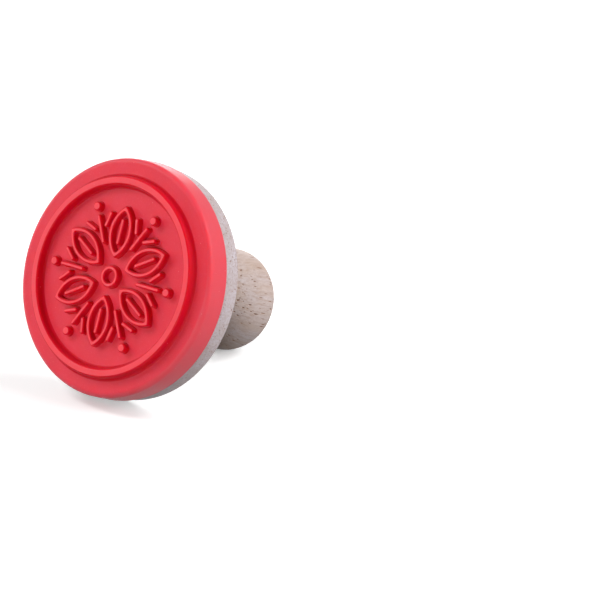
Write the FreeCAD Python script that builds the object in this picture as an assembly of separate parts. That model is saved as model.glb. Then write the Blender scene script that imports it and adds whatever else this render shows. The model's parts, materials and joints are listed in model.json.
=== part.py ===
import FreeCAD, Part
import math
import os

from FreeCAD import Placement, Rotation, Vector

# Cookie stamp: a moulded silicone stamping pad bonded to a turned wooden disc, and a turned
# wooden knob handle that a countersunk wood screw holds to the disc from under the pad.
# Every piece is turned or moulded about the stamp's own axis, so each is modelled along Z first:
# Z = 0 is the disc's back face, the pad lies towards +Z and the handle towards -Z.
# The last step lays the whole stamp down on the disc's rim and the knob, as it rests on a table.
# Lengths are in millimetres, angles in degrees.

# Wooden disc
disc_radius = 34.3
disc_thickness = 6.7
disc_back_arris = 0.8
disc_front_arris = 0.3

# Silicone pad, drafted towards its face
pad_radius = 35.0
pad_thickness = 7.4
pad_draft_angle = 2.6
pad_edge_round = 1.6

# Raised ring near the pad's rim, which marks the cookie's border
ring_rim_gap = 5.2
ring_width = 2.3
ring_height = 2.3
ring_draft = 0.5
ring_top_round = 0.55
ring_foot_round = 0.9

# Raised flower inside the ring
relief_height = 2.0
relief_stroke = 1.35
relief_top_round = 0.45
relief_corner_round = 0.6
relief_root = 1.0
petal_count = 6
petal_eye_gap = 2.2
petal_ring_gap = 5.35
petal_half_width = 4.1
vein_tip_gap = 4.5
eye_radius = 3.2
sprig_eye_gap = 7.4
leaflet_length = 3.6
leaflet_angle = 42.0
leaflet_drop = 3.2
leaflet_gap = 0.7
berry_radius = 1.35
berry_gap = 1.2
berry_ring_gap = 3.4

# Turned handle: a waisted stem that swells into a ball knob. Each reach is measured behind the disc
foot_radius = 10.0
waist_radius = 8.0
waist_reach = 16.0
knob_radius = 15.55
knob_reach = 41.4
knob_swell_radius = 22.0
knob_end_round = 8.7
knob_crown_radius = 25.0

# Countersunk wood screw along the axis
screw_length = 30.0
screw_shank_radius = 2.0
screw_tip_length = 4.5
screw_head_radius = 4.1
screw_head_height = 2.3
screw_head_depth = 0.3
screw_clearance = 0.2
screw_end_clearance = 1.5
recess_span = 4.4
recess_width = 0.9
recess_depth = 1.5

# Heights along the stamp's axis that several pieces share
pad_face_z = disc_thickness + pad_thickness
screw_head_z = disc_thickness - screw_head_depth

# Radii on the pad's face: its edge, the ring's sides at the foot and top, and the field inside it
pad_front_radius = pad_radius - pad_thickness * math.tan(math.radians(pad_draft_angle))
ring_foot_radius = pad_front_radius - ring_rim_gap
ring_radius = ring_foot_radius - ring_draft
ring_inner_radius = ring_radius - ring_width
field_radius = ring_inner_radius - ring_draft

AXIS = Vector(0, 0, 1)
CENTRE = Vector(0, 0, 0)


def turned(edges):
    """Solid of revolution about Z from the edges of a closed profile in the XZ plane."""
    face = Part.Face(Part.Wire(Part.__sortEdges__(edges)))
    return face.revolve(CENTRE, AXIS, 360)


def profile_lines(points):
    """Straight edges through (radius, height) points, in order."""
    corners = [Vector(r, 0, z) for r, z in points]
    return [Part.LineSegment(a, b).toShape() for a, b in zip(corners, corners[1:])]


def round_circles(shape, circles, radius):
    """Fillet the circular edges of a turned shape that have the given (radius, height)."""
    chosen = []
    for edge in shape.Edges:
        if edge.Degenerated or not isinstance(edge.Curve, Part.Circle):
            continue
        for r, z in circles:
            same_radius = abs(edge.Curve.Radius - r) < 1e-4
            if same_radius and abs(edge.Curve.Center.z - z) < 1e-4:
                chosen.append(edge)
    return shape.makeFillet(radius, chosen)


def make_disc():
    """Wooden disc with eased rims, bored and countersunk for the screw."""
    disc = Part.makeCylinder(disc_radius, disc_thickness)
    disc = round_circles(disc, [(disc_radius, 0)], disc_back_arris)
    disc = round_circles(disc, [(disc_radius, disc_thickness)], disc_front_arris)
    bore_radius = screw_shank_radius + screw_clearance
    bore = Part.makeCylinder(bore_radius, disc_thickness)
    sink_floor_z = screw_head_z - screw_head_height
    sink = turned(profile_lines([
        (0, sink_floor_z),
        (screw_shank_radius, sink_floor_z),
        (screw_head_radius, screw_head_z),
        (screw_head_radius, disc_thickness),
        (0, disc_thickness),
        (0, sink_floor_z),
    ]))
    return disc.cut(bore).cut(sink)


def make_pad_body():
    """Pad blank: a drafted disc with a soft rim, and the raised border ring on its face."""
    ring_z = pad_face_z + ring_height
    pad = turned(profile_lines([
        (0, disc_thickness),
        (pad_radius, disc_thickness),
        (pad_front_radius, pad_face_z),
        (ring_foot_radius, pad_face_z),
        (ring_radius, ring_z),
        (ring_inner_radius, ring_z),
        (field_radius, pad_face_z),
        (0, pad_face_z),
        (0, disc_thickness),
    ]))
    pad = round_circles(pad, [(pad_front_radius, pad_face_z)], pad_edge_round)
    ring_tops = [(ring_radius, ring_z), (ring_inner_radius, ring_z)]
    pad = round_circles(pad, ring_tops, ring_top_round)
    ring_feet = [(ring_foot_radius, pad_face_z), (field_radius, pad_face_z)]
    return round_circles(pad, ring_feet, ring_foot_round)


def raised(face, sharp_corners=False):
    """Stand a flat outline up from the pad's face, with its top edges rounded as moulded."""
    face.translate(Vector(0, 0, pad_face_z - relief_root))
    block = face.extrude(Vector(0, 0, relief_root + relief_height))
    if sharp_corners:
        upright = [e for e in block.Edges if e.BoundBox.ZLength > relief_height]
        block = block.makeFillet(relief_corner_round, upright)
    top_z = pad_face_z + relief_height
    top_edges = [e for e in block.Edges if abs(e.BoundBox.ZMin - top_z) < 1e-4]
    return block.makeFillet(relief_top_round, top_edges)


def round_bar(start, end, width):
    """Flat outline of a straight stroke with half-round ends, from one XY point to another."""
    along = (end - start).normalize()
    side = Vector(-along.y, along.x, 0) * (width / 2)
    tip = along * (width / 2)
    return Part.Face(Part.Wire([
        Part.LineSegment(start - side, end - side).toShape(),
        Part.Arc(end - side, end + tip, end + side).toShape(),
        Part.LineSegment(end + side, start + side).toShape(),
        Part.Arc(start + side, start - tip, start - side).toShape(),
    ]))


def lens(centre_x, half_length, half_width):
    """Flat pointed oval on the X axis, bounded by two equal arcs."""
    left = Vector(centre_x - half_length, 0, 0)
    right = Vector(centre_x + half_length, 0, 0)
    low = Vector(centre_x, -half_width, 0)
    high = Vector(centre_x, half_width, 0)
    return Part.Face(Part.Wire([
        Part.Arc(left, low, right).toShape(),
        Part.Arc(right, high, left).toShape(),
    ]))


def make_petal():
    """A petal on the X axis, raised as its rim and the vein inside it."""
    petal_start = eye_radius + petal_eye_gap
    petal_end = field_radius - petal_ring_gap
    half_length = (petal_end - petal_start) / 2
    centre_x = petal_start + half_length
    arc_radius = (half_length**2 + petal_half_width**2) / (2 * petal_half_width)
    inner_half_width = petal_half_width - relief_stroke
    inner_offset = arc_radius - petal_half_width
    inner_half_length = math.sqrt((arc_radius - relief_stroke)**2 - inner_offset**2)
    outer = lens(centre_x, half_length, petal_half_width)
    inner = lens(centre_x, inner_half_length, inner_half_width)
    vein_half_length = half_length - vein_tip_gap
    vein_start = Vector(centre_x - vein_half_length, 0, 0)
    vein_end = Vector(centre_x + vein_half_length, 0, 0)
    vein = round_bar(vein_start, vein_end, relief_stroke)
    return [raised(outer.cut(inner).Faces[0], sharp_corners=True), raised(vein)]


def make_sprig():
    """A raised stem on the X axis with a pair of leaflets and a berry beyond its tip."""
    berry_x = field_radius - berry_ring_gap - berry_radius
    stem_start = eye_radius + sprig_eye_gap
    stem_end = berry_x - berry_radius - berry_gap - relief_stroke / 2
    strokes = [round_bar(Vector(stem_start, 0, 0), Vector(stem_end, 0, 0), relief_stroke)]
    for side in (-1, 1):
        bend = math.radians(side * leaflet_angle)
        root_y = side * (relief_stroke + leaflet_gap)
        root = Vector(stem_end - leaflet_drop, root_y, 0)
        reach = Vector(math.cos(bend), math.sin(bend), 0) * leaflet_length
        strokes.append(round_bar(root, root + reach, relief_stroke))
    strokes.append(Part.Face(Part.Wire(Part.makeCircle(berry_radius, Vector(berry_x, 0, 0)))))
    return [raised(outline) for outline in strokes]


def make_relief():
    """Every raised stroke of the flower: its eye, its petals and the sprigs between them."""
    eye_disc = Part.Face(Part.Wire(Part.makeCircle(eye_radius)))
    eye_hole = Part.Face(Part.Wire(Part.makeCircle(eye_radius - relief_stroke)))
    strokes = [raised(eye_disc.cut(eye_hole).Faces[0])]
    spacing = 360 / petal_count
    petal, sprig = make_petal(), make_sprig()
    for index in range(petal_count):
        strokes += [stroke.rotated(CENTRE, AXIS, (index + 0.5) * spacing) for stroke in petal]
        strokes += [stroke.rotated(CENTRE, AXIS, index * spacing) for stroke in sprig]
    return strokes


def make_pad():
    """Silicone pad in one piece: blank, ring and flower."""
    return make_pad_body().multiFuse(make_relief()).removeSplitter()


def arc_about(centre, start, end):
    """Arc of less than half a turn from start to end about a centre."""
    radius = start.distanceToPoint(centre)
    middle = (start - centre) + (end - centre)
    return Part.Arc(start, centre + middle.normalize() * radius, end).toShape()


def make_handle():
    """Turned handle: waisted stem, ball knob and the pilot hole for the screw."""
    foot = Vector(foot_radius, 0, 0)
    waist = Vector(waist_radius, 0, -waist_reach)
    widest = Vector(knob_radius, 0, -knob_reach)

    # From foot to waist the stem is one cove, along the axis at the waist.
    foot_step = foot_radius - waist_radius
    foot_cove_radius = (waist_reach**2 + foot_step**2) / (2 * foot_step)
    foot_cove = arc_about(waist + Vector(foot_cove_radius, 0, 0), foot, waist)

    # From waist to knob a cove and a swell meet tangentially: both run along the axis at their
    # far ends, which fixes the sum of their radii.
    rise = knob_radius - waist_radius
    run = knob_reach - waist_reach
    radius_sum = (rise**2 + run**2) / (2 * rise)
    cove_centre = waist + Vector(radius_sum - knob_swell_radius, 0, 0)
    swell_centre = widest - Vector(knob_swell_radius, 0, 0)
    share = knob_swell_radius / radius_sum
    meeting = swell_centre + (cove_centre - swell_centre) * share
    cove = arc_about(cove_centre, waist, meeting)
    swell = arc_about(swell_centre, meeting, widest)

    # The knob's end is a shallow crown about the axis, tangent to the rounding of its rim.
    rounding_centre = widest - Vector(knob_end_round, 0, 0)
    crown_span = knob_crown_radius - knob_end_round
    crown_height = math.sqrt(crown_span**2 - rounding_centre.x**2)
    crown_centre = Vector(0, 0, crown_height - knob_reach)
    outward = (rounding_centre - crown_centre).normalize()
    crown_rim = rounding_centre + outward * knob_end_round
    crown_tip = crown_centre - AXIS * knob_crown_radius
    rounding = arc_about(rounding_centre, widest, crown_rim)
    crown = arc_about(crown_centre, crown_rim, crown_tip)

    closing = profile_lines([(0, crown_tip.z), (0, 0), (foot_radius, 0)])
    handle = turned([foot_cove, cove, swell, rounding, crown] + closing)
    pilot_depth = screw_length - screw_head_z + screw_end_clearance
    pilot = Part.makeCylinder(screw_shank_radius, pilot_depth, CENTRE, -AXIS)
    return handle.cut(pilot)


def make_screw():
    """Countersunk wood screw with a cross recess; its thread is left as a plain shank."""
    head_bottom_z = screw_head_z - screw_head_height
    tip_z = screw_head_z - screw_length
    screw = turned(profile_lines([
        (0, tip_z),
        (screw_shank_radius, tip_z + screw_tip_length),
        (screw_shank_radius, head_bottom_z),
        (screw_head_radius, screw_head_z),
        (0, screw_head_z),
        (0, tip_z),
    ]))
    for span_x, span_y in ((recess_span, recess_width), (recess_width, recess_span)):
        corner = Vector(-span_x / 2, -span_y / 2, screw_head_z - recess_depth)
        screw = screw.cut(Part.makeBox(span_x, span_y, recess_depth, corner))
    return screw


def resting_tilt():
    """Angle in degrees that the axis rises towards the face when disc and knob share a table.

    At tilt t the disc's rounded back edge reaches (disc_radius - a) * cos(t) + a * (1 - sin(t))
    below the axis at the disc's back, where a is its arris. The knob's rounded end reaches
    knob_reach * sin(t) + (knob_radius - r) * cos(t) + r, where r is its rounding. Equal reaches
    give an equation of the form run * cos(t) - rise * sin(t) = rest.
    """
    run = (disc_radius - disc_back_arris) - (knob_radius - knob_end_round)
    rise = knob_reach + disc_back_arris
    rest = knob_end_round - disc_back_arris
    return math.degrees(math.acos(rest / math.hypot(run, rise)) - math.atan2(rise, run))


def lay_down(shapes):
    """Lay every piece on the table together, with the box's bottom centre at the origin.

    The face looks towards -Y and upwards by the resting tilt.
    """
    turn = Placement(CENTRE, Rotation(Vector(1, 0, 0), 90 - resting_tilt()))
    for shape in shapes:
        shape.Placement = turn.multiply(shape.Placement)
    box = Part.makeCompound(shapes).optimalBoundingBox(False, False)
    shift = Vector(-(box.XMin + box.XMax) / 2, -(box.YMin + box.YMax) / 2, -box.ZMin)
    for shape in shapes:
        shape.translate(shift)


pieces = {
    "stamp_pad": make_pad(),
    "base_disc": make_disc(),
    "handle": make_handle(),
    "fixing_screw": make_screw(),
}
lay_down(list(pieces.values()))

os.makedirs("parts", exist_ok=True)
for name, solid in pieces.items():
    solid.exportStep("parts/" + name + ".step")
    print(name, "solids", len(solid.Solids), "valid", solid.isValid(), "volume", round(solid.Volume, 1))
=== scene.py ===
"""Looks for a cookie stamp: a moulded silicone pad, its turned wood, and a plain studio."""

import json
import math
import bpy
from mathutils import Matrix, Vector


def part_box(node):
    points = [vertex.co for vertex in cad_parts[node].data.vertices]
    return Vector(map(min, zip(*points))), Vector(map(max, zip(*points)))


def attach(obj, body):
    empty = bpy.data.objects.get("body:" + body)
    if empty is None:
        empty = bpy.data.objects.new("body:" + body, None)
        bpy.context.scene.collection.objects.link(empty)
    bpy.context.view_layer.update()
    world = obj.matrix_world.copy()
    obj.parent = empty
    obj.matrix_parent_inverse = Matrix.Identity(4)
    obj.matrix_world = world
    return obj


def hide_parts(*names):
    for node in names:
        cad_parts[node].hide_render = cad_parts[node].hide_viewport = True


bl_info = {
    "name": "Cookie Stamp",
    "version": (1, 0, 0),
    "blender": (4, 5, 0),
    "location": "View3D > Sidebar > Cookie Stamp",
    "description": "Builds a wooden cookie stamp with a silicone face, and a studio to show it in",
    "category": "Add Mesh",
}

from collections import namedtuple

import bmesh
import bpy
from bpy.props import FloatProperty, FloatVectorProperty, IntProperty, PointerProperty
from mathutils import Matrix, Vector
from mathutils.geometry import delaunay_2d_cdt

MM = 0.001

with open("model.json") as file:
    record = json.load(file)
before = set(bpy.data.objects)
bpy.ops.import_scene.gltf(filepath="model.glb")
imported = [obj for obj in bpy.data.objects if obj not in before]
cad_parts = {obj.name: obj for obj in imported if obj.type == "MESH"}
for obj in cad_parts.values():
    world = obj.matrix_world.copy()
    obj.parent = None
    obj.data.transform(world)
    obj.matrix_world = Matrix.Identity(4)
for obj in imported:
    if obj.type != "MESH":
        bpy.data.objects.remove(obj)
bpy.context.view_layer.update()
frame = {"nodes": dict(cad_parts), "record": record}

# The stamp's own axes, read from the frame. Its Z runs from the handle to the face, with zero at
# the disc's back, and its Y is the upright direction across the face.
face_mount = next(m for m in frame["record"]["mounts"] if m["name"] == "stamp_face")
stamp_z = Vector(face_mount["axis"]).normalized()
stamp_x = Vector((1, 0, 0))
stamp_y = stamp_z.cross(stamp_x)
ring_top_centre = Vector((0, face_mount["pos_m"][1], face_mount["pos_m"][2]))
upright = Matrix((stamp_x, stamp_y, stamp_z)).transposed().to_4x4()


def node_radius(node):
    """Half of a CAD node's width across the stamp, which is its largest radius."""
    low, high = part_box(node)
    return (high.x - low.x) / 2


def length(name, text, default):
    """A length setting, in metres."""
    return FloatProperty(
        name=name, description=text, default=default, min=0.0,
        subtype="DISTANCE", unit="LENGTH", precision=4,
    )


def colour(name, text, default):
    """A colour setting, linear red, green and blue."""
    return FloatVectorProperty(
        name=name, description=text, default=default, size=3,
        min=0.0, max=1.0, subtype="COLOR",
    )


def angle(name, text, degrees):
    """An angle setting, given in degrees and kept in radians."""
    return FloatProperty(
        name=name, description=text, default=math.radians(degrees),
        subtype="ANGLE", unit="ROTATION",
    )


class StampPadSettings(bpy.types.PropertyGroup):
    """Sizes and colours of the silicone pad."""

    radius: length("Radius", "Radius of the pad's back edge", node_radius("stamp_pad"))
    thickness: length("Thickness", "From the pad's back to its face", 7.4 * MM)
    draft: length("Draft", "How much the radius shrinks from back to face", 0.336 * MM)
    back_round: length("Back Round", "Rounding of the pad's back edge", 0.15 * MM)
    edge_round: length("Edge Round", "Rounding of the rim", 1.6 * MM)
    ring_radius: length("Ring Radius", "Outer radius of the border ring's top", 28.964 * MM)
    ring_width: length("Ring Width", "Width of the border ring's top", 2.3 * MM)
    ring_height: length("Ring Height", "Height of the border ring above the face", 2.3 * MM)
    ring_draft: length("Ring Draft", "How much wider the ring is at its foot, each side", 0.5 * MM)
    ring_top_round: length("Ring Top Round", "Rounding of the ring's top edges", 0.55 * MM)
    ring_foot_round: length("Ring Foot Round", "Fillet at the ring's foot", 0.9 * MM)
    relief_height: length("Relief Height", "Height of the flower above the face", 2.0 * MM)
    stroke: length("Stroke", "Width of the flower's strokes", 1.35 * MM)
    stroke_top_round: length("Stroke Top Round", "Rounding of a stroke's top edge", 0.45 * MM)
    stroke_foot_round: length("Stroke Foot Round", "Fillet at a stroke's foot", 0.25 * MM)
    petals: IntProperty(
        name="Petals", description="Petals of the flower", default=6, min=3, max=12,
    )
    tint: colour("Colour", "Colour of the silicone", (0.71, 0.016, 0.046))
    # Painted sheen: the raised tops are given a paler colour than the face.
    crest_painted_sheen_tint: colour("Crest Colour", "Paler raised tops, a painted sheen", (0.81, 0.052, 0.078))
    # Painted shade: the relief's steep walls are given a darker, deeper red.
    wall_painted_shade_tint: colour("Wall Colour", "Colour of the relief's steep walls", (0.61, 0.0, 0.014))
    # Painted sheen: the rim's rounding and the side are given a paler colour.
    rim_painted_sheen_tint: colour("Rim Colour", "Colour of the rim and the side", (0.70, 0.048, 0.075))


class WoodSettings(bpy.types.PropertyGroup):
    """Thickness of the disc and colours of the turned wood."""

    disc_thickness: length("Disc Thickness", "Thickness of the wooden disc", 6.7 * MM)
    disc_tint: colour("Disc Colour", "Colour of the disc's wood", (0.53, 0.478, 0.515))
    disc_warm_tint: colour(
        "Disc Band Colour", "Colour of the disc's broad bands", (0.50, 0.435, 0.44),
    )
    handle_tint: colour("Handle Colour", "Colour of the handle's wood", (0.55, 0.475, 0.475))
    handle_warm_tint: colour(
        "Handle Band Colour", "Colour of the handle's broad bands", (0.52, 0.40, 0.335),
    )
    pore_tint: colour("Pore Colour", "Colour of the open pores", (0.32, 0.16, 0.095))


class StageSettings(bpy.types.PropertyGroup):
    """View of the camera."""

    azimuth: angle("Azimuth", "Turn of the camera about the stamp", -37.94)
    elevation: angle("Elevation", "How far the camera looks down", 20.91)
    roll: angle("Roll", "Tilt of the camera about its line of sight", 0.30)
    focal_length: FloatProperty(
        name="Focal Length", description="Lens in millimetres on a 36 mm sensor",
        default=150.0, min=10.0, subtype="DISTANCE_CAMERA",
    )


def settings():
    """The scene's three groups of settings."""
    scene = bpy.context.scene
    return scene.stamp_pad_settings, scene.stamp_wood_settings, scene.stamp_stage_settings


def place_on_stamp(obj):
    """Bake the stamp's own axes into a mesh built along Z, so that it lies where the CAD lies."""
    pad, wood, _ = settings()
    height = wood.disc_thickness + pad.thickness + pad.ring_height
    origin = ring_top_centre - stamp_z * height
    obj.data.transform(Matrix.Translation(origin) @ upright)


def finish_piece(bm, name, material, cad_node):
    """Turn a bmesh in the stamp's own axes into a smooth object that stands for a CAD node."""
    bmesh.ops.recalc_face_normals(bm, faces=bm.faces)
    mesh = bpy.data.meshes.new(name)
    bm.to_mesh(mesh)
    bm.free()
    mesh.polygons.foreach_set("use_smooth", [True] * len(mesh.polygons))
    obj = bpy.data.objects.new(name, mesh)
    bpy.context.scene.collection.objects.link(obj)
    place_on_stamp(obj)
    obj.data.materials.append(material)
    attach(obj, "root")
    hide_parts(cad_node)
    return obj


def refinish(node, material):
    """Give a CAD node one material in place of its own."""
    materials = frame["nodes"][node].data.materials
    materials.clear()
    materials.append(material)


# Turned forms

SUPPORT = 0.04 * MM
AXIS_REACH = 1e-4 * MM
ROUND_STEPS = 8
TURN_STEPS = 256


def rounded_profile(corners):
    """Points of a turned profile from (radius, height, rounding) corners.

    A rounded corner becomes an arc that touches both of its sides, with a support point just
    outside each end so that the flat beside it shades flat.
    """
    points = []
    spots = [Vector((r, z)) for r, z, _ in corners]
    for index, spot in enumerate(spots):
        rounding = corners[index][2]
        if rounding == 0:
            points.append(spot)
            continue
        before = (spots[index - 1] - spot).normalized()
        after = (spots[(index + 1) % len(spots)] - spot).normalized()
        half_angle = before.angle(after) / 2
        reach = rounding / math.tan(half_angle)
        centre = spot + (before + after).normalized() * (rounding / math.sin(half_angle))
        start = spot + before * reach
        end = spot + after * reach
        first = start - centre
        sweep = first.angle_signed(end - centre)
        points.append(start + before * SUPPORT)
        for step in range(ROUND_STEPS + 1):
            turn = Matrix.Rotation(-sweep * step / ROUND_STEPS, 2)
            points.append(centre + turn @ first)
        points.append(end + after * SUPPORT)
    return points


def lathe(bm, profile):
    """Revolve an open profile of (radius, height) points about Z. A point on the axis is a pole."""
    rings = []
    for r, z in profile:
        if r < AXIS_REACH:
            rings.append([bm.verts.new((0, 0, z))])
            continue
        ring = []
        for step in range(TURN_STEPS):
            turn = 2 * math.pi * step / TURN_STEPS
            ring.append(bm.verts.new((r * math.cos(turn), r * math.sin(turn), z)))
        rings.append(ring)
    for low, high in zip(rings, rings[1:]):
        bridge(bm, low, high)
    return rings


def bridge(bm, low, high):
    """Join two rings of vertices with quads, or with triangles where one of them is a pole."""
    count = max(len(low), len(high))
    for step in range(count):
        after = (step + 1) % count
        if len(low) == 1:
            corners = [low[0], high[after], high[step]]
        elif len(high) == 1:
            corners = [low[step], low[after], high[0]]
        else:
            corners = [low[step], low[after], high[after], high[step]]
        bm.faces.new(corners)


def pad_profile(pad, back_z):
    """Turned section of the pad, from the middle of its back round to the inside of the ring."""
    face_z = back_z + pad.thickness
    ring_z = face_z + pad.ring_height
    inner = pad.ring_radius - pad.ring_width
    floor_radius = inner - pad.ring_draft - 2 * pad.ring_foot_round
    return rounded_profile([
        (0, back_z, 0),
        (pad.radius, back_z, pad.back_round),
        (pad.radius - pad.draft, face_z, pad.edge_round),
        (pad.ring_radius + pad.ring_draft, face_z, pad.ring_foot_round),
        (pad.ring_radius, ring_z, pad.ring_top_round),
        (inner, ring_z, pad.ring_top_round),
        (inner - pad.ring_draft, face_z, pad.ring_foot_round),
        (floor_radius, face_z, 0),
    ])


# The flower's outlines: convex chains of arcs (centre x, centre y, radius, first and last angle)

ARC_STEP = math.radians(7.5)
SAME_SPOT = 1e-4 * MM
QUARTER_TURN = math.pi / 2

EYE_RADIUS = 3.2 * MM
PETAL_START = 5.4 * MM
PETAL_LENGTH = 15.41 * MM
PETAL_HALF_WIDTH = 4.1 * MM
PETAL_POINT_ROUND = 0.6 * MM
VEIN_START = 9.9 * MM
VEIN_LENGTH = 6.41 * MM
SPRIG_START = 10.6 * MM
SPRIG_LENGTH = 7.585 * MM
LEAFLET_LENGTH = 3.6 * MM
LEAFLET_LEAN = math.radians(42)
LEAFLET_DROP = 3.2 * MM
LEAFLET_GAP = 0.7 * MM
BERRY_RADIUS = 1.35 * MM
BERRY_GAP = 1.2 * MM


def bar_outline(start, end, width):
    """A straight stroke with half-round ends."""
    along = math.atan2(end[1] - start[1], end[0] - start[0])
    return [
        (start[0], start[1], width / 2, along + QUARTER_TURN, along + 3 * QUARTER_TURN),
        (end[0], end[1], width / 2, along - QUARTER_TURN, along + QUARTER_TURN),
    ]


def dot_outline(x, y, radius):
    """A full circle."""
    return [(x, y, radius, 0, 2 * math.pi)]


def lens_outline(centre_x, arc_radius, half_width, corner):
    """A pointed oval on the X axis with its two points rounded."""
    offset = arc_radius - half_width
    reach = math.sqrt((arc_radius - corner) ** 2 - offset**2)
    lean = math.atan2(reach, offset)
    from_x = QUARTER_TURN - lean
    return [
        (centre_x + reach, 0, corner, -from_x, from_x),
        (centre_x, -offset, arc_radius, from_x, QUARTER_TURN + lean),
        (centre_x - reach, 0, corner, QUARTER_TURN + lean, 3 * QUARTER_TURN - lean),
        (centre_x, offset, arc_radius, 3 * QUARTER_TURN - lean, 3 * QUARTER_TURN + lean),
    ]


def outline_points(outline, offset, turn):
    """Points round an outline, pushed out by offset and turned about the stamp's axis."""
    points = []
    for x, y, radius, first, last in outline:
        steps = max(2, round((last - first) / ARC_STEP))
        reach = radius + offset
        for step in range(steps + 1):
            at = first + (last - first) * step / steps
            spot = Vector((x + reach * math.cos(at), y + reach * math.sin(at)))
            points.append(Matrix.Rotation(turn, 2) @ spot)
    return [
        spot for index, spot in enumerate(points)
        if (spot - points[index - 1]).length > SAME_SPOT
    ]


def stroke_profile(pad):
    """Wall of a raised stroke as (offset from its outline, height), from its foot to its top."""
    foot = pad.stroke_foot_round
    top = pad.stroke_top_round
    round_angles = [QUARTER_TURN * step / ROUND_STEPS for step in range(ROUND_STEPS + 1)]
    points = [(foot + SUPPORT, 0)]
    for at in round_angles:
        points.append((foot * (1 - math.sin(at)), foot * (1 - math.cos(at))))
    for at in round_angles:
        height = pad.relief_height - top * (1 - math.sin(at))
        points.append((-top * (1 - math.cos(at)), height))
    points.append((-top - SUPPORT, pad.relief_height))
    return points


def raise_outline(bm, outline, turn, profile, face_z, inward=False):
    """Raise a wall round an outline and return its lowest and highest ring of vertices."""
    side = -1 if inward else 1
    rings = []
    for offset, height in profile:
        spots = outline_points(outline, side * offset, turn)
        rings.append([bm.verts.new((p.x, p.y, face_z + height)) for p in spots])
    for low, high in zip(rings, rings[1:]):
        bridge(bm, low, high)
    return rings[0], rings[-1]


def fill_between(bm, rings):
    """Triangulate the flat that lies between nested rings of vertices."""
    verts = [v for ring in rings for v in ring]
    loops = []
    start = 0
    for ring in rings:
        loops.append(list(range(start, start + len(ring))))
        start += len(ring)
    flat = [Vector((v.co.x, v.co.y)) / MM for v in verts]
    triangles_without_holes = 2
    merge_distance = 1e-6
    _, _, faces, source, _, _ = delaunay_2d_cdt(
        flat, [], loops, triangles_without_holes, merge_distance,
    )
    for face in faces:
        bm.faces.new([verts[source[index][0]] for index in face])


def petal_outlines(stroke):
    """A petal's outer edge, the hollow inside it and its vein."""
    half_length = PETAL_LENGTH / 2
    middle = PETAL_START + half_length
    arc = (half_length**2 + PETAL_HALF_WIDTH**2) / (2 * PETAL_HALF_WIDTH)
    edge = lens_outline(middle, arc, PETAL_HALF_WIDTH, PETAL_POINT_ROUND)
    hollow = lens_outline(middle, arc - stroke, PETAL_HALF_WIDTH - stroke, PETAL_POINT_ROUND)
    vein = bar_outline((VEIN_START, 0), (VEIN_START + VEIN_LENGTH, 0), stroke)
    return edge, hollow, vein


def sprig_outlines(stroke):
    """A sprig between two petals: its stem, two leaflets and a berry."""
    stem_end = SPRIG_START + SPRIG_LENGTH
    outlines = [bar_outline((SPRIG_START, 0), (stem_end, 0), stroke)]
    for side in (-1, 1):
        root_x = stem_end - LEAFLET_DROP
        root_y = side * (stroke + LEAFLET_GAP)
        tip_x = root_x + LEAFLET_LENGTH * math.cos(LEAFLET_LEAN)
        tip_y = root_y + side * LEAFLET_LENGTH * math.sin(LEAFLET_LEAN)
        outlines.append(bar_outline((root_x, root_y), (tip_x, tip_y), stroke))
    berry_x = stem_end + stroke / 2 + BERRY_GAP + BERRY_RADIUS
    outlines.append(dot_outline(berry_x, 0, BERRY_RADIUS))
    return outlines


def flower_outlines(pad):
    """Every stroke of the flower as (outline, turn, is a hole in the stroke before it)."""
    strokes = [
        (dot_outline(0, 0, EYE_RADIUS), 0, False),
        (dot_outline(0, 0, EYE_RADIUS - pad.stroke), 0, True),
    ]
    edge, hollow, vein = petal_outlines(pad.stroke)
    sprig = sprig_outlines(pad.stroke)
    spacing = 2 * math.pi / pad.petals
    for index in range(pad.petals):
        petal_turn = (index + 0.5) * spacing
        sprig_turn = index * spacing
        strokes += [(edge, petal_turn, False), (hollow, petal_turn, True)]
        strokes.append((vein, petal_turn, False))
        strokes += [(outline, sprig_turn, False) for outline in sprig]
    return strokes


# Materials. Their patterns lie on the stamp's own axes, in millimetres, with zero in the middle of
# the ring's top.


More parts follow.
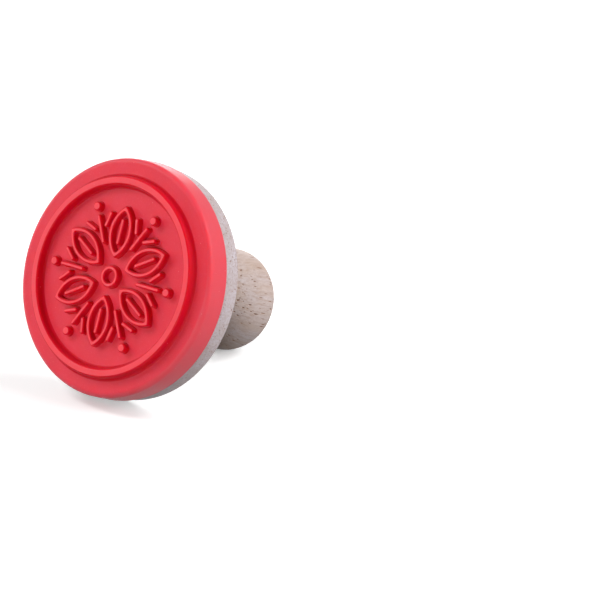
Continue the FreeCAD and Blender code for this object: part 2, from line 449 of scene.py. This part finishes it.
class Shader:
    """A material's node tree with short calls for adding and joining nodes."""

    def __init__(self, name):
        self.material = bpy.data.materials.new(name)
        self.material.use_nodes = True
        self.tree = self.material.node_tree
        self.tree.nodes.clear()
        self.output = self.add("ShaderNodeOutputMaterial")
        self.surface = self.add("ShaderNodeBsdfPrincipled")
        self.join(self.surface.outputs["BSDF"], self.output.inputs["Surface"])

    def add(self, kind, **values):
        """Add a node. A value names an attribute of the node, or a socket if it has no such one."""
        node = self.tree.nodes.new(kind)
        for name, value in values.items():
            if hasattr(node, name):
                setattr(node, name, value)
            else:
                node.inputs[name].default_value = value
        return node

    def join(self, source, target):
        """Link an output to an input."""
        self.tree.links.new(source, target)

    def stamp_coordinates(self, scale=(1, 1, 1), turn=0.0):
        """Position in millimetres along the stamp's own axes, turned about Z, then scaled."""
        here = self.add("ShaderNodeTexCoord")
        onto_stamp = self.add("ShaderNodeMapping", vector_type="TEXTURE")
        onto_stamp.inputs["Location"].default_value = ring_top_centre
        onto_stamp.inputs["Rotation"].default_value = upright.to_euler()
        onto_stamp.inputs["Scale"].default_value = (MM, MM, MM)
        stretch = self.add("ShaderNodeMapping")
        stretch.inputs["Rotation"].default_value = (0, 0, turn)
        stretch.inputs["Scale"].default_value = scale
        self.join(here.outputs["Object"], onto_stamp.inputs["Vector"])
        self.join(onto_stamp.outputs["Vector"], stretch.inputs["Vector"])
        return stretch.outputs["Vector"]

    def noise(self, where, scale, detail=2.0, roughness=0.5):
        """A noise texture's factor at some coordinates."""
        node = self.add("ShaderNodeTexNoise", Scale=scale, Detail=detail, Roughness=roughness)
        self.join(where, node.inputs["Vector"])
        return node.outputs["Fac"]

    def cells(self, where, scale):
        """A Voronoi texture's node at some coordinates."""
        node = self.add("ShaderNodeTexVoronoi", Scale=scale)
        self.join(where, node.inputs["Vector"])
        return node

    def ramp(self, factor, low=0.0, high=1.0, from_value=0.0, to_value=1.0):
        """Map a factor between two bounds onto two values, clamped."""
        node = self.add("ShaderNodeMapRange")
        node.inputs["From Min"].default_value = low
        node.inputs["From Max"].default_value = high
        node.inputs["To Min"].default_value = from_value
        node.inputs["To Max"].default_value = to_value
        self.join(factor, node.inputs["Value"])
        return node.outputs["Result"]

    def falling(self, factor, low, high):
        """A mask that is 1 up to the lower bound and 0 from the higher one."""
        return self.ramp(factor, low, high, from_value=1.0, to_value=0.0)

    def math(self, operation, first, second):
        """Combine two values, each an output or a number."""
        node = self.add("ShaderNodeMath", operation=operation)
        for socket, value in zip(node.inputs, (first, second)):
            if isinstance(value, (int, float)):
                socket.default_value = value
            else:
                self.join(value, socket)
        return node.outputs["Value"]

    def blend(self, factor, first, second):
        """Mix two colours, each an output or a colour, by a factor that is an output."""
        node = self.add("ShaderNodeMix", data_type="RGBA")
        self.join(factor, node.inputs[0])
        colour_inputs = [socket for socket in node.inputs if socket.type == "RGBA"]
        for socket, value in zip(colour_inputs, (first, second)):
            if isinstance(value, bpy.types.NodeSocket):
                self.join(value, socket)
            else:
                socket.default_value = (*value[:3], 1.0)
        return next(socket for socket in node.outputs if socket.type == "RGBA")

    def bump(self, height, distance, strength=1.0, under=None):
        """Bump from a height output, over another bump if one is given."""
        node = self.add("ShaderNodeBump", Distance=distance, Strength=strength)
        self.join(height, node.inputs["Height"])
        if under:
            self.join(under, node.inputs["Normal"])
        return node.outputs["Normal"]


# Heights in millimetres, and cosines of the lean away from the face, at which zones fade
FACE_LEVEL_FADE = (-0.003, 0.001)
CREST_LEVELS = (-1.1, -0.35)
WALL_LEAN = (0.96, 0.9995)
TURNING_LEAN = (0.93, 0.995)

GRIT_COLOUR = (0.85, 0.12, 0.14)
DUST_COLOUR = (0.9, 0.35, 0.36)
FACE_GLOSS = 0.32
SIDE_GLOSS = 0.2
WALL_GLOSS_SHARE = 0.4
FACE_SHEEN = 0.12
WALL_SHEEN = 0.05
SHEEN_ROUGHNESS = 0.45
SHEEN_TINT = (1.0, 0.85, 0.87, 1.0)
SCATTER_RADIUS = (1.0, 0.15, 0.12)
SCATTER_DEPTH = 1.6 * MM


def pad_zones(shader, where, pad):
    """Masks of the pad's zones, told apart by height and by the lean of the surface.

    They are the raised tops, the steep walls of the relief, all that leans away from the face,
    and what of this lies below the face, which is the rim and the side. The tops and the rim
    get a painted sheen in their colour, and the walls a painted shade.
    """
    place = shader.add("ShaderNodeSeparateXYZ")
    shader.join(where, place.inputs["Vector"])
    level = place.outputs["Z"]
    here = shader.add("ShaderNodeNewGeometry")
    lean = shader.add("ShaderNodeVectorMath", operation="DOT_PRODUCT")
    shader.join(here.outputs["Normal"], lean.inputs[0])
    lean.inputs[1].default_value = stamp_z
    facing = lean.outputs["Value"]

    face_level = -pad.ring_height / MM
    above_face = shader.ramp(level, *(face_level + fade for fade in FACE_LEVEL_FADE))
    below_face = shader.math("SUBTRACT", 1.0, above_face)
    crest = shader.ramp(level, *CREST_LEVELS)
    wall = shader.math("MULTIPLY", shader.falling(facing, *WALL_LEAN), above_face)
    turning = shader.falling(facing, *TURNING_LEAN)
    rim = shader.math("MULTIPLY", turning, below_face)
    return crest, wall, turning, rim


def silicone_base(shader, where, pad, crest, wall, rim):
    """Colour of the silicone: cloudy, slightly gritty, painted sheen and shade by zone, a few dust
    specks.
    """
    tint = Vector(pad.tint)
    clouds = shader.ramp(shader.noise(where, scale=0.12, detail=3.0), 0.3, 0.7)
    base = shader.blend(clouds, tint * 0.96, tint * 1.03)
    grit = shader.noise(where, scale=1.8, detail=3.0, roughness=0.7)
    base = shader.blend(shader.ramp(grit, 0.55, 0.75, to_value=0.2), base, GRIT_COLOUR)
    # Painted sheen: the raised tops are made paler than the face.
    base = shader.blend(crest, base, pad.crest_painted_sheen_tint)
    # Painted shade: the steep walls and their fillets are made darker and deeper red.
    base = shader.blend(wall, base, pad.wall_painted_shade_tint)
    # Painted sheen: the rim's rounding and the side are made paler.
    base = shader.blend(rim, base, pad.rim_painted_sheen_tint)
    specks = shader.cells(where, scale=0.32)
    dust = shader.ramp(specks.outputs["Distance"], 0.03, 0.05, from_value=0.35, to_value=0.0)
    return shader.blend(dust, base, DUST_COLOUR)


def silicone_material(pad):
    """Satin red silicone: light passes a little way in, and the mould leaves a fine tooth."""
    shader = Shader("red_silicone")
    where = shader.stamp_coordinates()
    crest, wall, turning, rim = pad_zones(shader, where, pad)
    inputs = shader.surface.inputs
    shader.join(silicone_base(shader, where, pad, crest, wall, rim), inputs["Base Color"])

    tooth = shader.noise(where, scale=3.0, detail=4.0, roughness=0.6)
    swell = shader.noise(where, scale=0.25, detail=1.0)
    relief = shader.bump(tooth, distance=0.02 * MM, strength=0.6)
    relief = shader.bump(swell, distance=0.08 * MM, strength=0.5, under=relief)
    shader.join(relief, inputs["Normal"])
    shader.join(shader.ramp(tooth, 0.3, 0.7, 0.42, 0.52), inputs["Roughness"])

    zone_gloss = shader.ramp(turning, from_value=FACE_GLOSS, to_value=SIDE_GLOSS)
    wall_gloss = shader.ramp(wall, from_value=1.0, to_value=WALL_GLOSS_SHARE)
    gloss = shader.math("MULTIPLY", zone_gloss, wall_gloss)
    sheen = shader.ramp(wall, from_value=FACE_SHEEN, to_value=WALL_SHEEN)
    shader.join(gloss, inputs["Specular IOR Level"])
    shader.join(sheen, inputs["Sheen Weight"])
    inputs["Sheen Roughness"].default_value = SHEEN_ROUGHNESS
    inputs["Sheen Tint"].default_value = SHEEN_TINT
    inputs["Subsurface Weight"].default_value = 1.0
    inputs["Subsurface Radius"].default_value = SCATTER_RADIUS
    inputs["Subsurface Scale"].default_value = SCATTER_DEPTH
    return shader.material


# Pores: size of the cells that they lie in, in millimetres, the share of a cell that a pore opens,
# and how patchy they are. Figure: the stamp's axis that the grain follows, 0 to 2, two kinds of
# pores, the strength of the fine mottle, and the brightness of a pore's core.
Pores = namedtuple("Pores", "cell_size opening patchiness")
Figure = namedtuple("Figure", "axis short_pores long_pores mottle core")

DISC_FIGURE = Figure(
    axis=0, short_pores=Pores(0.7, 0.26, 0.44), long_pores=Pores(1.5, 0.13, 0.44),
    mottle=0.55, core=0.8,
)
HANDLE_FIGURE = Figure(
    axis=2, short_pores=Pores(0.7, 0.28, 0.38), long_pores=Pores(1.4, 0.17, 0.34),
    mottle=0.3, core=0.35,
)
GRAIN_TURN = math.radians(15)
FIBRE_STRETCH = 9
BAND_STRETCH = 30
PORE_RIM_STRENGTH = 0.75
WOOD_GLOSS = 0.2


def drawn_out(axis, stretch):
    """Scale that draws a pattern out along one axis, 0 to 2, by a number of times."""
    return tuple(1 / stretch if index == axis else 1 for index in range(3))


def pore_masks(shader, where, pores):
    """Masks of the pores' rims and cores. The stretch of the coordinates draws the pores out."""
    cells = shader.cells(where, scale=1 / pores.cell_size)
    size = shader.ramp(cells.outputs["Color"], 0.2, 0.8, 0.75, 1.6)
    reach = shader.math("MULTIPLY", cells.outputs["Distance"], size)
    scatter = shader.noise(where, scale=0.25, detail=1.0)
    patches = shader.ramp(scatter, pores.patchiness, pores.patchiness + 0.08)
    rim = shader.falling(reach, pores.opening * 0.6, pores.opening)
    core = shader.falling(reach, pores.opening * 0.3, pores.opening * 0.6)
    return shader.math("MULTIPLY", rim, patches), shader.math("MULTIPLY", core, patches)


def wood_base(shader, tint, warm_tint, pore_tint, figure, along, fibre):
    """Colour of the wood without its pores: broad bands, lines, fibre and a fine mottle."""
    streak = warm_tint * 0.65 + pore_tint * 0.3
    darker = tint * 0.6 + pore_tint * 0.3
    mottled = tint * 0.5 + pore_tint * 0.45
    bands = shader.noise(along, scale=0.22, detail=2.0)
    lines = shader.noise(along, scale=1.3, detail=3.0, roughness=0.6)
    evenly = shader.stamp_coordinates()
    speckle = shader.noise(evenly, scale=1.6, detail=3.0, roughness=0.7)
    base = shader.blend(shader.ramp(bands, 0.35, 0.68), tint * 1.03, warm_tint)
    base = shader.blend(shader.ramp(lines, 0.46, 0.66, to_value=0.7), base, streak)
    base = shader.blend(shader.ramp(fibre, 0.45, 0.72, to_value=0.5), base, darker)
    return shader.blend(shader.ramp(speckle, 0.47, 0.62, to_value=figure.mottle), base, mottled)


def wood_material(name, tint, warm_tint, pore_tint, figure):
    """Sanded pale hardwood, with its grain along one of the stamp's axes."""
    shader = Shader(name)
    where = shader.stamp_coordinates(drawn_out(figure.axis, FIBRE_STRETCH), GRAIN_TURN)
    along = shader.stamp_coordinates(drawn_out(figure.axis, BAND_STRETCH), GRAIN_TURN)
    tint = Vector(tint)
    warm_tint = Vector(warm_tint)
    pore_tint = Vector(pore_tint)
    fibre = shader.noise(where, scale=3.0, detail=3.0, roughness=0.65)
    base = wood_base(shader, tint, warm_tint, pore_tint, figure, along, fibre)

    short_rim, short_core = pore_masks(shader, where, figure.short_pores)
    long_rim, long_core = pore_masks(shader, where, figure.long_pores)
    for rim, core in ((short_rim, short_core), (long_rim, long_core)):
        rim_strength = shader.math("MULTIPLY", rim, PORE_RIM_STRENGTH)
        base = shader.blend(rim_strength, base, pore_tint)
        base = shader.blend(core, base, pore_tint * figure.core)
    inputs = shader.surface.inputs
    shader.join(base, inputs["Base Color"])

    pores = shader.math("MAXIMUM", long_rim, short_rim)
    sunk = shader.math("MULTIPLY", pores, -1.0)
    relief = shader.bump(fibre, distance=0.04 * MM, strength=0.6)
    relief = shader.bump(sunk, distance=0.2 * MM, strength=0.8, under=relief)
    shader.join(relief, inputs["Normal"])
    shader.join(shader.ramp(fibre, 0.3, 0.7, 0.55, 0.68), inputs["Roughness"])
    inputs["Specular IOR Level"].default_value = WOOD_GLOSS
    return shader.material


STEEL_DARK = (0.55, 0.55, 0.57)
STEEL_BRIGHT = (0.68, 0.68, 0.70)


def steel_material():
    """Zinc-plated steel of the hidden screw."""
    shader = Shader("screw_steel")
    drawn = shader.noise(shader.stamp_coordinates(), scale=4.0, detail=3.0)
    base = shader.blend(shader.ramp(drawn, 0.3, 0.7), STEEL_DARK, STEEL_BRIGHT)
    inputs = shader.surface.inputs
    shader.join(base, inputs["Base Color"])
    shader.join(shader.ramp(drawn, 0.3, 0.7, 0.28, 0.42), inputs["Roughness"])
    inputs["Metallic"].default_value = 1.0
    return shader.material


# Pieces


class STAMP_OT_pad(bpy.types.Operator):
    """Mould the silicone pad with its ring and flower"""

    bl_idname = "stamp.pad"
    bl_label = "Silicone Pad"

    def execute(self, context):
        pad, wood, _ = settings()
        face_z = wood.disc_thickness + pad.thickness
        bm = bmesh.new()
        blank = lathe(bm, pad_profile(pad, wood.disc_thickness))
        feet = [blank[-1]]
        tops = []
        profile = stroke_profile(pad)
        for outline, turn, is_hole in flower_outlines(pad):
            foot, top = raise_outline(bm, outline, turn, profile, face_z, inward=is_hole)
            feet.append(foot)
            tops.append(top)
        fill_between(bm, feet)
        fill_between(bm, tops)
        piece = finish_piece(bm, "moulded_pad", silicone_material(pad), "stamp_pad")
        return {"FINISHED"}


class STAMP_OT_wood(bpy.types.Operator):
    """Finish the turned disc and handle as sanded hardwood"""

    bl_idname = "stamp.wood"
    bl_label = "Turned Wood"

    def execute(self, context):
        _, wood, _ = settings()
        disc_wood = wood_material(
            "disc_wood", wood.disc_tint, wood.disc_warm_tint, wood.pore_tint, DISC_FIGURE,
        )
        handle_wood = wood_material(
            "handle_wood", wood.handle_tint, wood.handle_warm_tint, wood.pore_tint, HANDLE_FIGURE,
        )
        refinish("base_disc", disc_wood)
        refinish("handle", handle_wood)
        return {"FINISHED"}


class STAMP_OT_screw(bpy.types.Operator):
    """Finish the hidden screw"""

    bl_idname = "stamp.screw"
    bl_label = "Fixing Screw"

    def execute(self, context):
        refinish("fixing_screw", steel_material())
        return {"FINISHED"}


# Studio. Places are in metres and powers in watts. Every light is aimed at the stamp's middle.

FLOOR_RADIUS = 4.0
FLOOR_SIDES = 96
FLOOR_DIM = (0.06, 0.06, 0.06)
FLOOR_PALE = (0.9, 0.9, 0.9)
FLOOR_GLOW = 0.34
FLOOR_ROUGHNESS = 0.9
BLACK = (0, 0, 0)
WHITE = (1, 1, 1)

SKY_GLOW = 0.12
SKY_FULL_HEIGHT = 0.6

SOFTBOX_SIZE = 0.4
SOFTBOX_AIM = Vector((0, 0, 0.035))
SOFTBOXES = (
    ("rear_softbox", (0.55, 0.6, 0.635), 6.2),
    ("side_softbox", (0.9, 0.2, 0.415), 5.9),
    ("left_softbox", (-0.906, -0.389, 0.2), 2.0),
    ("high_softbox", (-0.612, -0.366, 0.736), 5.4),
    ("front_softbox", (0.33, -0.94, 0.07), 9.0),
    ("back_softbox", (-0.6, 0.78, 0.18), 2.6),
)

CAMERA_PLACE = Vector((455.2, -521.2, 286.7)) * MM
SENSOR_WIDTH_MM = 36.0
NEAREST_SEEN = 0.01


def background_rays(tree):
    """An output that is 1 for rays that show the background: straight on, in gloss or in glass."""
    seen = tree.nodes.new("ShaderNodeLightPath")
    rays = seen.outputs["Is Camera Ray"]
    for name in ("Is Glossy Ray", "Is Transmission Ray"):
        either = tree.nodes.new("ShaderNodeMath")
        either.operation = "MAXIMUM"
        tree.links.new(rays, either.inputs[0])
        tree.links.new(seen.outputs[name], either.inputs[1])
        rays = either.outputs["Value"]
    return rays


def floor_material():
    """Matt white to the rays that show it, and dim to the light that it throws back."""
    shader = Shader("floor")
    shown = background_rays(shader.tree)
    inputs = shader.surface.inputs
    shader.join(shader.blend(shown, FLOOR_DIM, FLOOR_PALE), inputs["Base Color"])
    shader.join(shader.blend(shown, BLACK, WHITE), inputs["Emission Color"])
    inputs["Emission Strength"].default_value = FLOOR_GLOW
    inputs["Roughness"].default_value = FLOOR_ROUGHNESS
    inputs["Specular IOR Level"].default_value = 0.0
    return shader.material


def add_floor():
    """Pale floor that shows white where it is lit and keeps the stamp's shadow."""
    bm = bmesh.new()
    bmesh.ops.create_circle(bm, cap_ends=True, segments=FLOOR_SIDES, radius=FLOOR_RADIUS)
    mesh = bpy.data.meshes.new("floor")
    bm.to_mesh(mesh)
    bm.free()
    floor = bpy.data.objects.new("floor", mesh)
    bpy.context.scene.collection.objects.link(floor)
    floor.data.materials.append(floor_material())


def add_world():
    """Surroundings that light the stamp softly from overhead and look white themselves."""
    world = bpy.data.worlds.new("studio")
    bpy.context.scene.world = world
    world.use_nodes = True
    tree = world.node_tree
    tree.nodes.clear()
    output = tree.nodes.new("ShaderNodeOutputWorld")
    background = tree.nodes.new("ShaderNodeBackground")
    background.inputs["Color"].default_value = (*WHITE, 1)
    direction = tree.nodes.new("ShaderNodeTexCoord")
    height = tree.nodes.new("ShaderNodeSeparateXYZ")
    overhead = tree.nodes.new("ShaderNodeMapRange")
    overhead.inputs["From Max"].default_value = SKY_FULL_HEIGHT
    overhead.inputs["To Max"].default_value = SKY_GLOW
    strength = tree.nodes.new("ShaderNodeMix")
    strength.inputs["B"].default_value = 1.0
    link = tree.links.new
    link(direction.outputs["Generated"], height.inputs["Vector"])
    link(height.outputs["Z"], overhead.inputs["Value"])
    link(background_rays(tree), strength.inputs["Factor"])
    link(overhead.outputs["Result"], strength.inputs["A"])
    link(strength.outputs["Result"], background.inputs["Strength"])
    link(background.outputs["Background"], output.inputs["Surface"])


def add_softbox(name, place, power):
    """A square area light, turned to the stamp."""
    light = bpy.data.lights.new(name, "AREA")
    light.shape = "SQUARE"
    light.size = SOFTBOX_SIZE
    light.energy = power
    lamp = bpy.data.objects.new(name, light)
    lamp.location = place
    lamp.rotation_euler = (SOFTBOX_AIM - Vector(place)).to_track_quat("-Z", "Y").to_euler()
    bpy.context.scene.collection.objects.link(lamp)


def add_camera(stage):
    """The photograph's view: a long lens, looking down across the stamp's face."""
    camera = bpy.data.objects.new("camera", bpy.data.cameras.new("camera"))
    camera.data.lens = stage.focal_length
    camera.data.sensor_width = SENSOR_WIDTH_MM
    camera.data.clip_start = NEAREST_SEEN
    level = Vector((math.sin(stage.azimuth), math.cos(stage.azimuth), 0))
    sight = level * math.cos(stage.elevation) - Vector((0, 0, math.sin(stage.elevation)))
    turn = sight.to_track_quat("-Z", "Y").to_matrix().to_4x4()
    roll = Matrix.Rotation(stage.roll, 4, "Z")
    camera.matrix_world = Matrix.Translation(CAMERA_PLACE) @ turn @ roll
    bpy.context.scene.collection.objects.link(camera)
    bpy.context.scene.camera = camera


class STAMP_OT_stage(bpy.types.Operator):
    """Set up the floor, the lights and the camera"""

    bl_idname = "stamp.stage"
    bl_label = "Studio"

    def execute(self, context):
        _, _, stage = settings()
        add_floor()
        add_world()
        for name, place, power in SOFTBOXES:
            add_softbox(name, place, power)
        add_camera(stage)
        context.scene.view_settings.view_transform = "Standard"
        return {"FINISHED"}


# Sidebar

PAD_ROWS = ("thickness", "ring_radius", "ring_height", "relief_height", "petals", "tint")
WOOD_ROWS = (
    "disc_thickness", "disc_tint", "disc_warm_tint",
    "handle_tint", "handle_warm_tint", "pore_tint",
)
STAGE_ROWS = ("azimuth", "elevation", "roll", "focal_length")


class STAMP_PT_panel(bpy.types.Panel):
    """Sidebar panel that lists the stamp's pieces and their settings"""

    bl_label = "Cookie Stamp"
    bl_idname = "STAMP_PT_panel"
    bl_space_type = "VIEW_3D"
    bl_region_type = "UI"
    bl_category = "Cookie Stamp"

    def draw(self, context):
        pad, wood, stage = settings()
        groups = (
            (pad, PAD_ROWS, ("stamp.pad",)),
            (wood, WOOD_ROWS, ("stamp.wood", "stamp.screw")),
            (stage, STAGE_ROWS, ("stamp.stage",)),
        )
        for group, rows, operators in groups:
            box = self.layout.box()
            for row in rows:
                box.prop(group, row)
            for operator in operators:
                box.operator(operator)


CLASSES = (
    StampPadSettings,
    WoodSettings,
    StageSettings,
    STAMP_OT_pad,
    STAMP_OT_wood,
    STAMP_OT_screw,
    STAMP_OT_stage,
    STAMP_PT_panel,
)


def register():
    """Register the classes and give the scene its settings."""
    for cls in CLASSES:
        bpy.utils.register_class(cls)
    bpy.types.Scene.stamp_pad_settings = PointerProperty(type=StampPadSettings)
    bpy.types.Scene.stamp_wood_settings = PointerProperty(type=WoodSettings)
    bpy.types.Scene.stamp_stage_settings = PointerProperty(type=StageSettings)


def unregister():
    """Take the settings and the classes away again."""
    del bpy.types.Scene.stamp_stage_settings
    del bpy.types.Scene.stamp_wood_settings
    del bpy.types.Scene.stamp_pad_settings
    for cls in reversed(CLASSES):
        bpy.utils.unregister_class(cls)


def main():
    """Build the stage and the pieces."""
    register()
    bpy.ops.stamp.stage()
    bpy.ops.stamp.pad()
    bpy.ops.stamp.wood()
    bpy.ops.stamp.screw()


if __name__ == "__main__":
    main()
